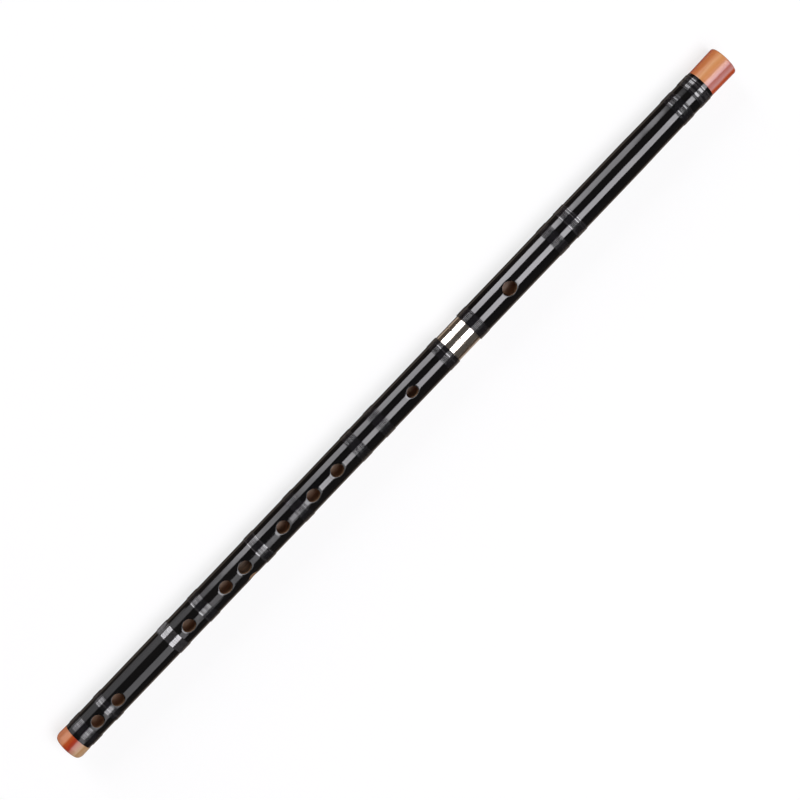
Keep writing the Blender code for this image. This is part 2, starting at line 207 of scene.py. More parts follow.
# End rings: face against the tube, end, outer radii at both, inner radius, thickness of the
# floor, and reach of the rounded end along and across. Both have a small round at the face,
# behind which the outside begins, and one round the bore.
Cap = namedtuple("Cap", "face_x end_x outer end_outer inner floor round_along round_across")
FOOT_CAP = Cap(-323.76, -335.0, 11.5, 11.65, 10.05, 3.0, 4.6, 2.5)
HEAD_CAP = Cap(311.36, 335.0, 11.4, 11.7, 9.95, 4.0, 1.6, 1.3)
CAP_FACE_EDGE = 0.15
CAP_FACE_LAND = 0.4
CAP_BORE_EDGE = 0.3

# Plain rings: ends, inner and outer radius, and the round of the outer edges
Sleeve = namedtuple("Sleeve", "low_x high_x inner outer edge")
BODY_FERRULE = Sleeve(53.36, 64.36, 9.0, 11.5, 0.35)
HEAD_FERRULE = Sleeve(64.44, 74.64, 10.0, 11.5, 0.35)
TENON = Sleeve(39.4, 94.4, 7.9, 8.7, 0.3)
SOCKET_SLEEVE = Sleeve(64.5, 100.4, 9.0, 9.7, 0.15)
STOPPER = Sleeve(125.65, 141.65, 1.0, 8.42, 0.8)

# Looks that depend on a place: half the width of the resin's layers across the view, and the
# darkening of the bore near the side hole, in metres from it, with its depth on the scale of the
# streaks
RESIN_REACH = 13.0
DARKEN_NEAR = 0.006
DARKEN_FAR = 0.012
DARKEN_DEPTH = 0.45

# View: the camera looks down from a little towards +Y, with the flute rising to the right. The
# aim is along the flute, and across it in the view.
VIEW_TILT = math.radians(13.6)
FLUTE_SLOPE = math.radians(46.34)
CAMERA_DISTANCE = 1500.0
AIM_X = 4.2
AIM_ACROSS = -0.28
LENS = 95.8
SENSOR = 36.0
CAMERA_REACH = 100000.0

# Stage: half the floor and its height under the flute, the share of it that glows by itself, how
# far the cards reach, and the colours of the room and the cards
FLOOR_HALF = 30000.0
FLOOR_Z = -0.05
FLOOR_GLOW = 0.75
CARD_REACH = 6000.0
ROOM = (0.088, 0.084, 0.080)
# The cards' colours are painted reflections: dark surroundings, the flute's painted shadow on the
# floor, the half-lit floor beside it, and lit floor
DARK = (0.072, 0.058, 0.044)
SHADED = (0.12, 0.105, 0.09)
PALE = (0.42, 0.355, 0.29)
WHITE = (0.95, 0.94, 0.93)
# Cards: name, low and high y, low and high x, colour, and height above the ground
# Each card paints a reflection: the shadow card paints the flute's shadow on the floor, and the
# white card on the flank paints a highlight on the seventh body binding
CARDS = (
    ("dark_card_near_side", -CARD_REACH, -45.0, -CARD_REACH, CARD_REACH, DARK, 0.0),
    ("pale_card_near_side", -45.0, 8.0, -CARD_REACH, CARD_REACH, PALE, 0.0),
    ("painted_shadow_card", 8.0, 18.0, -CARD_REACH, CARD_REACH, SHADED, 0.0),
    ("pale_card_far_side", 18.0, 28.0, -CARD_REACH, CARD_REACH, PALE, 0.0),
    ("dark_card_far_side", 28.0, 66.0, -CARD_REACH, CARD_REACH, DARK, 0.0),
    ("white_card_foot", 66.0, CARD_REACH, -CARD_REACH, -205.0, WHITE, 0.0),
    ("dark_card_beyond", 66.0, CARD_REACH, -205.0, CARD_REACH, DARK, 0.0),
    ("white_card_flank", 18.0, 66.0, -231.0, -221.4, WHITE, 0.3),
)
# Lamps: their distance and tint, then for each its name, its lowest and highest angle round the
# flute from the view, and (x, radiance) along it
LAMP_DISTANCE = 4000.0
LAMP_TINT = (1.0, 0.985, 1.03)
LAMPS = (
    (
        "lamp_far_side", 37.5, 80.0,
        (
            (-182.0, 1.5), (-164.0, 6.6), (-155.0, 6.5), (-122.0, 2.9), (-98.0, 2.9), (-90.0, 4.0),
            (-68.0, 4.8), (40.0, 6.0), (95.0, 9.1), (154.0, 9.8), (186.0, 4.9), (214.0, 4.1),
            (279.0, 5.0), (292.0, 0.4), (480.0, 0.5),
        ),
    ),
    (
        "lamp_far_side_foot", 38.5, 95.0,
        ((-480.0, 1.1), (-248.0, 1.15), (-206.0, 1.4), (-182.0, 1.5)),
    ),
    (
        "lamp_near_side", -47.5, -11.5,
        (
            (-112.0, 3.9), (-98.0, 12.6), (-90.0, 12.0), (-82.0, 8.6), (-66.0, 7.0), (0.0, 6.9),
            (40.0, 7.9), (94.0, 9.4), (136.0, 10.6), (165.0, 10.0), (194.0, 7.8), (240.0, 8.6),
            (262.0, 7.6), (284.0, 6.5), (300.0, 12.5), (320.0, 4.5), (480.0, 4.5),
        ),
    ),
    (
        "lamp_near_side_middle", -58.0, -20.0,
        (
            (-205.0, 2.2), (-196.0, 2.4), (-182.0, 2.3), (-164.0, 1.5), (-146.0, 2.6),
            (-134.0, 2.6), (-125.0, 3.1), (-112.0, 3.9),
        ),
    ),
    ("lamp_near_side_foot", -68.5, -20.0, ((-480.0, 2.0), (-205.0, 2.2))),
)

tube_low, tube_high = (Vector(corner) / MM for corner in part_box("body_tube"))
AXIS_Z = 0.5 * (tube_low.z + tube_high.z)
VIEW = Vector((0.0, math.sin(VIEW_TILT), math.cos(VIEW_TILT)))
ALONG = Vector((1.0, 0.0, 0.0))
ACROSS = Vector((0.0, math.cos(VIEW_TILT), -math.sin(VIEW_TILT)))


def smooth(share):
    """Ease from 0 to 1."""
    share = min(1.0, max(0.0, share))
    return share * share * (3.0 - 2.0 * share)


def blend(low, high, share):
    """Value a share of the way from low to high."""
    return low + share * (high - low)


def ring_point(x, radius, angle):
    """Point on a circle round the bore axis."""
    return (x, radius * math.sin(angle), AXIS_Z + radius * math.cos(angle))


# Mesh helpers


def make_mesh(name, points, faces, materials, face_slots=None, sharp=PLAIN_SHARP):
    """Make a smooth-shaded object from points in millimetres, sharp at edges above an angle."""
    mesh = bpy.data.meshes.new(name)
    mesh.from_pydata([Vector(point) * MM for point in points], [], faces)
    for material in materials:
        mesh.materials.append(material)
    if face_slots is not None:
        mesh.polygons.foreach_set("material_index", face_slots)
    data = bmesh.new()
    data.from_mesh(mesh)
    bmesh.ops.recalc_face_normals(data, faces=data.faces)
    data.to_mesh(mesh)
    data.free()
    mesh.shade_smooth()
    mesh.set_sharp_from_angle(angle=math.radians(sharp))
    piece = bpy.data.objects.new(name, mesh)
    bpy.context.scene.collection.objects.link(piece)
    return piece


def place(piece, node, body):
    """Let a piece stand for a CAD node and move with its body."""
    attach(piece, body)
    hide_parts(node)


class Shell:
    """Points and faces of one closed surface, gathered ring by ring."""

    def __init__(self):
        self.points = []
        self.faces = []
        self.slots = []

    def add(self, point):
        """Add a point and return its number."""
        self.points.append(point)
        return len(self.points) - 1

    def ring(self, x, radius):
        """Add a circle of points round the bore axis."""
        return [self.add(ring_point(x, radius, TAU * k / COLUMNS)) for k in range(COLUMNS)]

    def face(self, corners, slot):
        """Add a face with its material's number."""
        self.faces.append(corners)
        self.slots.append(slot)

    def bridge(self, ring, after, slot):
        """Join two closed rings of the same count with quads."""
        count = len(ring)
        for k in range(count):
            m = (k + 1) % count
            self.face((ring[k], ring[m], after[m], after[k]), slot)

    def piece(self, name, materials, sharp=PLAIN_SHARP):
        """Make the object."""
        return make_mesh(name, self.points, self.faces, materials, self.slots, sharp)


def turned(name, outline, material):
    """Revolve a closed outline of (x, radius) points round the bore axis."""
    shell = Shell()
    rings = [shell.ring(x, radius) for x, radius in outline]
    for ring, after in zip(rings, rings[1:] + rings[:1]):
        shell.bridge(ring, after, 0)
    return shell.piece(name, [material])


# Shape of the bamboo


def body_radius(x):
    """Outer radius of the body section."""
    joint_x = BODY_BINDINGS[0][1]
    return blend(BODY_R_JOINT, BODY_R_FOOT, (joint_x - x) / (joint_x - FOOT_SHOULDER_X))


def head_radius(x):
    """Outer radius of the head section: straight, a soft neck, then a slight taper."""
    if x <= NECK_START_X:
        return HEAD_R_JOINT
    if x < NECK_END_X:
        share = (x - NECK_START_X) / (NECK_END_X - NECK_START_X)
        return blend(HEAD_R_JOINT, HEAD_R_NECK, 0.5 - 0.5 * math.cos(math.pi * share))
    share = (x - NECK_END_X) / (HEAD_SHOULDER_X - NECK_END_X)
    return blend(HEAD_R_NECK, HEAD_R_END, share)


def waviness(x, angle):
    """How far real bamboo departs from a true round, in millimetres."""
    return sum(
        height * math.cos(around * angle + phase + x / length)
        for height, around, phase, length in WAVES
    )


def dish(x, angle, holes):
    """How far the surface round the holes is worked down."""
    depth = 0.0
    for hole in holes:
        along = x - hole.x
        if abs(along) > 0.5 * hole.length + 3.0 * DISH_REACH:
            continue
        turn = math.remainder(angle - math.radians(hole.turn), TAU)
        across = HEAD_R_JOINT * turn
        half_length = 0.5 * hole.length
        half_width = 0.5 * hole.width
        oval = math.hypot(along / half_length, across / half_width)
        beyond = max(0.0, oval - 1.0) * math.sqrt(half_length * half_width)
        depth += DISH_DEPTH * math.exp(-((beyond / DISH_REACH) ** 2))
    return depth


def surface_radius(x, angle, radius_at, holes):
    """Outer radius of the worked bamboo at one place."""
    return radius_at(x) + waviness(x, angle) - dish(x, angle, holes)


def groove_stations(grooves):
    """(x, drop) of the edges of each groove, with a small round over each edge."""
    marks = []
    for low, high in grooves:
        for x, side in ((low, -GROOVE_EDGE), (high, GROOVE_EDGE)):
            steps = [(x + 2.0 * side, 0.0), (x + side, 0.0)]
            steps += [(x + out * side, down * GROOVE_EDGE) for out, down in EDGE_ROUND]
            steps.append((x, GROOVE_DEPTH))
            marks += steps if side < 0.0 else steps[::-1]
    return marks


def fill_stations(marks, spacing):
    """Add stations between marks, where the surface runs on, at most a spacing apart."""
    filled = [marks[0]]
    for x, drop in marks[1:]:
        last_x, last_drop = filled[-1]
        count = math.ceil(abs(x - last_x) / spacing - SLACK)
        for i in range(1, count):
            share = i / count
            filled.append((blend(last_x, x, share), blend(last_drop, drop, share)))
        filled.append((x, drop))
    return filled


def patch_reach(hole):
    """x range of the patch of surface that goes round a hole."""
    low = hole.x - 0.5 * hole.length - hole.before
    high = hole.x + 0.5 * hole.length + hole.after
    return round(low, 3), round(high, 3)


def patch_columns(hole):
    """First and last column of the patch round a hole."""
    if hole in PATCH_COLUMNS:
        return PATCH_COLUMNS[hole]
    span = math.degrees(math.asin(0.5 * hole.width / BORE_R)) + PATCH_MARGIN
    step = 360.0 / COLUMNS
    return math.floor((hole.turn - span) / step), math.ceil((hole.turn + span) / step)


def oval_angle(hole, x, angle):
    """Direction of a place of the surface from a hole's middle, stretched with the oval."""
    across = HEAD_R_JOINT * (angle - math.radians(hole.turn))
    return math.atan2(across / hole.width, (x - hole.x) / hole.length)


def oval_place(hole, direction, grow, radius):
    """(x, angle) of a point of a hole's rim, grown by a margin, at a radius."""
    x = hole.x + (0.5 * hole.length + grow) * math.cos(direction)
    across = (0.5 * hole.width + grow) * math.sin(direction)
    return x, math.radians(hole.turn) + math.asin(across / radius)


def holed_surface(shell, stations, holes, radius_of, plain_radius, slot, grow):
    """Add a tube surface with a patch of rings round each hole, whose rim is grown a little.

    Returns the first ring, the last ring and, for each hole, its rim and the directions of
    the rim's points.
    """
    angles = [TAU * k / COLUMNS for k in range(COLUMNS)]
    grid = []
    for x, drop in stations:
        grid.append([shell.add(ring_point(x, radius_of(x, a) - drop, a)) for a in angles])
    patches = []
    taken = set()
    for hole in holes:
        low, high = patch_reach(hole)
        rows = [i for i, (x, drop) in enumerate(stations) if low - SLACK <= x <= high + SLACK]
        first, last = patch_columns(hole)
        patches.append((hole, rows[0], rows[-1], first, last))
        for i in range(rows[0], rows[-1]):
            taken.update((i, k % COLUMNS) for k in range(first, last))
    for i in range(len(stations) - 1):
        for k in range(COLUMNS):
            if (i, k) not in taken:
                m = (k + 1) % COLUMNS
                shell.face((grid[i][k], grid[i][m], grid[i + 1][m], grid[i + 1][k]), slot)
    rims = []
    for hole, low, high, first, last in patches:
        border = [(low, k) for k in range(first, last)]
        border += [(i, last) for i in range(low, high)]
        border += [(high, k) for k in range(last, first, -1)]
        border += [(i, first) for i in range(high, low, -1)]
        loop = [grid[i][k % COLUMNS] for i, k in border]
        places = [(stations[i][0], TAU * k / COLUMNS) for i, k in border]
        directions = [oval_angle(hole, x, angle) for x, angle in places]
        for j in range(1, PATCH_RINGS + 1):
            share = 1.0 - (1.0 - j / PATCH_RINGS) ** PATCH_CROWDING
            ring = []
            for (x, angle), direction in zip(places, directions):
                rim_x, rim_angle = oval_place(hole, direction, grow, plain_radius(hole.x))
                at_x = blend(x, rim_x, share)
                at_angle = blend(angle, rim_angle, share)
                ring.append(shell.add(ring_point(at_x, radius_of(at_x, at_angle), at_angle)))
            shell.bridge(loop, ring, slot)
            loop = ring
        rims.append((hole, loop, directions))
    return grid[0], grid[-1], rims


def drilled_point(hole, direction, grow, height):
    """Point of a hole's wall at a height above the bore axis along the drill."""
    turn = math.radians(hole.turn)
    x = hole.x + (0.5 * hole.length + grow) * math.cos(direction)
    across = (0.5 * hole.width + grow) * math.sin(direction)
    y = across * math.cos(turn) + height * math.sin(turn)
    z = height * math.cos(turn) - across * math.sin(turn)
    return (x, y, AXIS_Z + z)


def rise(radius, hole, direction, grow):
    """Height above the bore axis, along the drill, of a round surface at a hole's rim."""
    across = (0.5 * hole.width + grow) * math.sin(direction)
    return math.sqrt(radius * radius - across * across)


def hole_wall(shell, outer, inner, radius_at, holes):
    """Join the outer rim of a hole to its inner rim through a rounded edge and its wall."""
    hole, loop, directions = outer
    bore_loop = inner[1]
    for out, down in EDGE_ROUND:
        grow = out * RIM_ROUND
        ring = []
        edge = []
        for direction in directions:
            x, angle = oval_place(hole, direction, grow, radius_at(hole.x))
            radius = surface_radius(x, angle, radius_at, holes)
            height = rise(radius, hole, direction, grow) - down * RIM_ROUND
            ring.append(shell.add(drilled_point(hole, direction, grow, height)))
            edge.append(height)
        shell.bridge(loop, ring, LACQUER)
        loop = ring
    # The finger holes' walls take a darker bamboo than the side hole's
    slot = CUT if hole == SIDE_HOLE else DARK_WALL
    for share in WALL_SHARES:
        ring = []
        for direction, top in zip(directions, edge):
            height = blend(top, rise(BORE_R, hole, direction, 0.0), share)
            ring.append(shell.add(drilled_point(hole, direction, 0.0, height)))
        shell.bridge(loop, ring, slot)
        loop = ring
    shell.bridge(loop, bore_loop, slot)


def bore_stations(stations, holes, low, high):
    """Stations of the bore: the outside's own within each patch, and a few between."""
    reaches = [patch_reach(hole) for hole in holes]
    marks = sorted({x for reach in reaches for x in reach} | {low, high})
    filled = fill_stations([(x, 0.0) for x in marks], BORE_SPACING)
    inside = {x for x, drop in stations if any(a <= x <= b for a, b in reaches)}
    between = {x for x, drop in filled if not any(a <= x <= b for a, b in reaches)}
    return [(x, 0.0) for x in sorted(inside | between)]


def bamboo_tube(name, materials, grooves, holes, radius_at, low_end, high_end):
    """One section of the flute: lacquered outside, cut and raw inside.

    low_end and high_end are the steps that tube_end gives. The radius of the first isn't used.
    """
    low_x, high_x = low_end[0][0], high_end[0][0]
    marks = groove_stations(grooves)
    marks += [(x, 0.0) for x in sorted({x for hole in holes for x in patch_reach(hole)})]
    marks = sorted((m for m in marks if low_x < m[0] < high_x), key=lambda mark: mark[0])
    low_drop = GROOVE_DEPTH if any(low == low_x for low, high in grooves) else 0.0
    high_drop = GROOVE_DEPTH if any(high == high_x for low, high in grooves) else 0.0
    marks = [(low_x, low_drop)] + marks + [(high_x, high_drop)]
    stations = fill_stations(marks, STATION_SPACING)

    def outer_radius(x, angle):
        return surface_radius(x, angle, radius_at, holes)

    def bore_radius(x, angle=0.0):
        return BORE_R

    shell = Shell()
    low_ring, high_ring, outer_rims = holed_surface(
        shell, stations, holes, outer_radius, radius_at, LACQUER, RIM_ROUND
    )
    inner = bore_stations(stations, holes, low_end[-1][0], high_end[-1][0])
    low_bore, high_bore, inner_rims = holed_surface(
        shell, inner, holes, bore_radius, bore_radius, BORE, 0.0
    )
    for outer_rim, inner_rim in zip(outer_rims, inner_rims):
        hole_wall(shell, outer_rim, inner_rim, radius_at, holes)
    for ring, steps, bore in ((low_ring, low_end, low_bore), (high_ring, high_end, high_bore)):
        for x, radius in steps[1:-1]:
            after = shell.ring(x, radius)
            shell.bridge(ring, after, CUT)
            ring = after
        shell.bridge(ring, bore, CUT)
    return shell.piece(name, materials)


def tube_end(face_x, step_x, step_radius):
    """(x, radius) steps of a tube's end, from the outer surface by a turned step to the bore."""
    return (face_x, 0.0), (face_x, step_radius), (step_x, step_radius), (step_x, BORE_R)


# Thread bindings


def thread_profile(floor, top, sag, lean):
    """Across the thread: (place from its middle in pitches, radius)."""
    profile = [(-0.5, floor), (-0.5, top - THREAD_VALLEY)]
    for u in CROWN_PLACES:
        at = u * THREAD_EDGE
        profile.append((at, top - (sag * u * u + lean * at * THREAD_PITCH)))
    return profile + [(0.5, top - THREAD_VALLEY), (0.5, floor)]


def winding(name, low, high, radius_at, materials, seed, lie):
    """One thread wound round and round in its groove, from edge to edge.

    The turns lie side by side, and each steps over to the next on the flute's underside. On the
    flank away from the player the crowns lie level. The thread stays above the ground.
    """
    draws = random.Random(seed)
    turns = round((high - low) / THREAD_PITCH)
    pitch = (high - low) / turns
    lifts = [draws.uniform(-THREAD_UNEVEN, THREAD_UNEVEN) for i in range(turns)]
    shifts = [draws.uniform(-THREAD_SHIFT, THREAD_SHIFT) * pitch for i in range(turns)]
    shifts[0] = shifts[-1] = 0.0
    sags = [lie.sag * draws.uniform(THREAD_SAG_LOW, THREAD_SAG_HIGH) for i in range(turns)]
    leans = [lie.lean + draws.uniform(-THREAD_TILT, THREAD_TILT) for i in range(turns)]
    flat = {min(turns - 1, int((x - low) / pitch)) for x in lie.flat}
    for turn in flat:
        sags[turn] = FLAT_SAG
    worn = {NO_TURNS: set(), FLAT_TURNS: flat, ALL_TURNS: set(range(turns))}[lie.worn]
    shell = Shell()
    ring = []
    steps = turns * THREAD_STEPS
    for s in range(steps + 1):
        turn = min(s // THREAD_STEPS, turns - 1)
        share = s / THREAD_STEPS - turn
        step_over = smooth((share - 1.0 + THREAD_JOG) / THREAD_JOG) if turn < turns - 1 else 0.0
        after = min(turn + 1, turns - 1)
        angle = math.pi + TAU * s / THREAD_STEPS
        shift = blend(shifts[turn], shifts[after], step_over)
        middle = low + pitch * (turn + 0.5 + step_over) + shift
        lift = blend(lifts[turn], lifts[after], step_over)
        sag = blend(sags[turn], sags[after], step_over)
        round_from_top = math.degrees(math.remainder(angle, TAU))
        level = smooth((round_from_top - FLANK_FROM) / (FLANK_TO - FLANK_FROM))
        lean = blend(leans[turn], leans[after], step_over) * (1.0 - level)
        tuck = min(1.0, s / TUCK_STEPS, (steps - s) / TUCK_STEPS)
        surface = radius_at(middle) + waviness(middle, angle)
        top = blend(surface - TUCK_DEPTH, surface + THREAD_PROUD + lift, smooth(tuck))
        row = []
        for at, radius in thread_profile(radius_at(middle) - THREAD_FLOOR, top, sag, lean):
            x, y, z = ring_point(middle + at * pitch * THREAD_FILL, radius, angle)
            row.append(shell.add((x, y, max(0.0, z))))
        # Turns in this set take the paler thread, a painted highlight
        slot = PAINTED_HIGHLIGHT if turn in worn else SOUND
        if ring:
            shell.bridge(ring, row, slot)
        else:
            shell.face(tuple(row), slot)
        ring = row
    shell.face(tuple(reversed(ring)), SOUND)
    return shell.piece(name, materials, THREAD_SHARP)


# Turned pieces


def quarter_round(x, radius, along, across, steps):
    """Rounded edge that ends at x, from the outer surface at a radius in towards the face.

    along is the reach of the round along x, with the sign of the way out, and across its depth,
    which is below 0 for an edge of the bore.
    """
    points = []
    for i in range(steps + 1):
        angle = 0.25 * TAU * i / steps
        inward = 1.0 - math.sin(angle)
        down = 1.0 - math.cos(angle)
        points.append((x - along * inward, radius - across * down))
    return points


def cap_outline(cap):
    """Outline of an end ring, from its face against the tube to its rounded end."""
    side = 1.0 if cap.end_x > cap.face_x else -1.0
    face_edge = side * CAP_FACE_EDGE
    bore_edge = side * CAP_BORE_EDGE
    floor_x = cap.end_x - side * cap.floor
    outline = quarter_round(cap.face_x, cap.outer, -face_edge, CAP_FACE_EDGE, 3)[::-1]
    outline.append((cap.face_x + side * CAP_FACE_LAND, cap.outer))
    outline += quarter_round(cap.end_x, cap.end_outer, side * cap.round_along, cap.round_across, 12)
    outline += quarter_round(cap.end_x, BORE_R, bore_edge, -CAP_BORE_EDGE, 4)[::-1]
    outline += [(floor_x, BORE_R), (floor_x, cap.inner), (cap.face_x, cap.inner)]
    return outline


def sleeve_outline(sleeve):
    """Outline of a plain ring with its outer edges rounded."""
    low_x, high_x, inner, outer, edge = sleeve
    outline = [(low_x, inner)]
    outline += quarter_round(low_x, outer, -edge, edge, 4)[::-1]
    outline += [(low_x + 2.0 * edge, outer), (high_x - 2.0 * edge, outer)]
    outline += quarter_round(high_x, outer, edge, edge, 4)
    outline.append((high_x, inner))
    return outline


# Materials


class Finish:
    """Node tree of one material, with short ways to add nodes and join them."""

    def __init__(self, name):
        self.material = bpy.data.materials.new(name)
        self.material.use_nodes = True
        self.tree = self.material.node_tree
        self.tree.nodes.clear()
        self.shader = self.add("ShaderNodeBsdfPrincipled")
        self.output = self.add("ShaderNodeOutputMaterial")
        self.join(self.shader.outputs[0], self.output.inputs[0])

    def add(self, kind, **settings):
        """Add a node."""
        node = self.tree.nodes.new(kind)
        for name, value in settings.items():
            setattr(node, name, value)
        return node

    def join(self, source, target):
        """Link an output to an input, or set the input to a plain value."""
        if isinstance(source, (int, float, tuple)):
            target.default_value = source
        else:
            self.tree.links.new(source, target)

    def set(self, **values):
        """Set or link the shader's sockets, named with underscores for spaces."""
        for name, value in values.items():
            self.join(value, self.shader.inputs[name.replace("_", " ")])

    def where(self, scale=(1.0, 1.0, 1.0)):
        """Place on the piece in metres, stretched."""
        source = self.add("ShaderNodeTexCoord").outputs["Object"]
        mapping = self.add("ShaderNodeMapping")
        self.join(source, mapping.inputs["Vector"])
        mapping.inputs["Scale"].default_value = scale
        return mapping.outputs[0]

    def noise(self, scale, stretch=(1.0, 1.0, 1.0), detail=3.0, roughness=0.5):
        """Noise with this many features per metre."""
        node = self.add("ShaderNodeTexNoise")
        self.join(self.where(stretch), node.inputs["Vector"])
        node.inputs["Scale"].default_value = scale
        node.inputs["Detail"].default_value = detail
        node.inputs["Roughness"].default_value = roughness
        return node.outputs["Fac"]

    def math(self, operation, first, second=0.0):
        """Result of a sum."""
        node = self.add("ShaderNodeMath", operation=operation)
        self.join(first, node.inputs[0])
        self.join(second, node.inputs[1])
        return node.outputs[0]

    def spread(self, factor, from_low, from_high, to_low, to_high):
        """Map a range onto another, clamped."""
        node = self.add("ShaderNodeMapRange")
        self.join(factor, node.inputs["Value"])
        for name, value in (
            ("From Min", from_low),
            ("From Max", from_high),
            ("To Min", to_low),
            ("To Max", to_high),
        ):
            node.inputs[name].default_value = value
        return node.outputs[0]

    def ramp(self, factor, stops):
        """Colour along a factor, from (place, colour) stops."""
        node = self.add("ShaderNodeValToRGB")
        self.join(factor, node.inputs[0])
        elements = node.color_ramp.elements
        while len(elements) < len(stops):
            elements.new(1.0)
        for element, (at, colour) in zip(elements, stops):
            element.position = at
            element.color = (*colour, 1.0)
        return node.outputs[0]

    def bump(self, height, distance, under=None):
        """Tilt the surface by a height map that rises this many metres."""
        node = self.add("ShaderNodeBump")
        node.inputs["Strength"].default_value = 1.0
        node.inputs["Distance"].default_value = distance
        self.join(height, node.inputs["Height"])
        if under is not None:
            self.join(under, node.inputs["Normal"])
        return node.outputs[0]


def lacquer():
    """Glossy black lacquer over bamboo, with the faint lengthwise grain showing in its gloss."""
    finish = Finish("black_lacquer")
    cloud = finish.noise(45.0, (0.35, 1.0, 1.0), 4.0)
    grain = finish.noise(260.0, (0.06, 1.0, 1.0), 2.0)
    ripple = finish.noise(95.0, (0.5, 1.0, 1.0), 2.0)
    colour = finish.ramp(cloud, [(0.35, (0.0012, 0.0012, 0.0014)), (0.7, (0.0032, 0.0028, 0.0028))])
    normal = finish.bump(ripple, 0.00007)
    normal = finish.bump(grain, 0.000012, under=normal)
    finish.set(
        Base_Color=colour,
        Roughness=finish.spread(cloud, 0.3, 0.7, 0.055, 0.105),
        IOR=1.5,
        Normal=normal,
    )
    return finish.material


def cut_bamboo(name, shade):
    """Bare bamboo where it is cut, with fine fibres along the tube: tan, or darker."""
    finish = Finish(name)
    fibres = finish.noise(1500.0, (0.12, 1.0, 1.0), 3.0, 0.6)
    tones = ((0.3, (0.30, 0.17, 0.085)), (0.52, (0.46, 0.28, 0.15)), (0.75, (0.58, 0.39, 0.23)))
    stops = [(at, tuple(shade * level for level in tone)) for at, tone in tones]
    colour = finish.ramp(fibres, stops)
    finish.set(
        Base_Color=colour,
        Roughness=finish.spread(fibres, 0.3, 0.7, 0.45, 0.7),
        Normal=finish.bump(fibres, 0.00004),
    )
    return finish.material


def bore_bamboo():
    """Smoothed bamboo inside the bore, streaked along the tube and darker near the side hole."""
    finish = Finish("bore_bamboo")
    streaks = finish.noise(420.0, (0.05, 1.0, 1.0), 4.0, 0.6)
    split = finish.add("ShaderNodeSeparateXYZ")
    finish.join(finish.where(), split.inputs[0])
    beside = finish.math("SUBTRACT", split.outputs[0], SIDE_HOLE.x * MM)
    beside = finish.math("ABSOLUTE", beside)
    darkening = finish.spread(beside, DARKEN_NEAR, DARKEN_FAR, DARKEN_DEPTH, 0.0)
    colour = finish.ramp(
        finish.math("SUBTRACT", streaks, darkening),
        [
            (0.05, (0.12, 0.075, 0.045)),
            (0.3, (0.34, 0.20, 0.12)),
            (0.55, (0.46, 0.285, 0.18)),
            (0.75, (0.56, 0.37, 0.25)),
        ],
    )
    finish.set(
        Base_Color=colour,
        Roughness=finish.spread(streaks, 0.3, 0.7, 0.35, 0.6),
        Normal=finish.bump(streaks, 0.00003),
    )
    return finish.material


def thread(name, dark, pale):
    """Black thread under a coat of lacquer, a little paler and more purple than the bamboo."""
    finish = Finish(name)
    fibres = finish.noise(2600.0, (1.0, 0.5, 0.5), 3.0, 0.6)
    patches = finish.noise(230.0, detail=2.0)
    colour = finish.ramp(patches, [(0.35, dark), (0.7, pale)])
    finish.set(
        Base_Color=colour,
        Roughness=finish.spread(patches, 0.3, 0.7, 0.4, 0.55),
        Specular_IOR_Level=0.0,
        Coat_Weight=0.95,
        Coat_Roughness=0.07,
        Coat_IOR=1.8,
        Normal=finish.bump(fibres, 0.00003),
    )
    return finish.material


def nickel_silver():
    """Polished warm white metal with faint turning marks round it."""
    finish = Finish("nickel_silver")
    marks = finish.noise(5200.0, (1.0, 0.004, 0.004), 3.0, 0.6)
    tarnish = finish.noise(110.0, detail=3.0)
    colour = finish.ramp(tarnish, [(0.3, (0.84, 0.77, 0.69)), (0.7, (0.76, 0.69, 0.60))])
    finish.set(
        Base_Color=colour,
        Metallic=1.0,
        Roughness=finish.spread(tarnish, 0.3, 0.7, 0.09, 0.16),
        Normal=finish.bump(marks, 0.000004),
    )
    return finish.material


def banded_resin(name, stops):
    """Polished resin cast in thin layers like agate, with the layers seen on edge.

    stops are (place across the view in millimetres, colour).
    """
    finish = Finish(name)
    split = finish.add("ShaderNodeSeparateXYZ")
    finish.join(finish.where(), split.inputs[0])
    across = finish.math("MULTIPLY", split.outputs[1], -math.cos(VIEW_TILT) / MM)
    height = finish.math("SUBTRACT", split.outputs[2], AXIS_Z * MM)
    height = finish.math("MULTIPLY", height, math.sin(VIEW_TILT) / MM)
    across = finish.math("ADD", across, height)
    bend = finish.noise(90.0, (0.45, 1.0, 1.0), 2.0)
    fine = finish.noise(420.0, (0.12, 1.0, 1.0), 3.0, 0.6)
    across = finish.math("ADD", across, finish.spread(bend, 0.2, 0.8, -0.6, 0.6))
    across = finish.math("ADD", across, finish.spread(fine, 0.2, 0.8, -0.45, 0.45))
    factor = finish.spread(across, -RESIN_REACH, RESIN_REACH, 0.0, 1.0)
    width = 2.0 * RESIN_REACH
    colour = finish.ramp(factor, [((at + RESIN_REACH) / width, tone) for at, tone in stops])
    finish.set(
        Base_Color=colour,
        Roughness=finish.spread(fine, 0.3, 0.7, 0.12, 0.22),
        IOR=1.42,
        Normal=finish.bump(bend, 0.00006),
    )
    return finish.material


def cork():
    """Natural cork: tan with darker pores."""
    finish = Finish("cork")
    grains = finish.noise(700.0, detail=4.0, roughness=0.65)
    pores = finish.noise(330.0, (0.5, 1.0, 1.0), 2.0)
    colour = finish.ramp(
        grains,
        [(0.3, (0.22, 0.12, 0.055)), (0.5, (0.47, 0.30, 0.155)), (0.75, (0.60, 0.42, 0.24))],
    )
    finish.set(
        Base_Color=colour,
        Roughness=finish.spread(pores, 0.3, 0.7, 0.75, 0.95),
        Normal=finish.bump(pores, 0.0003),
    )
    return finish.material


# Pieces


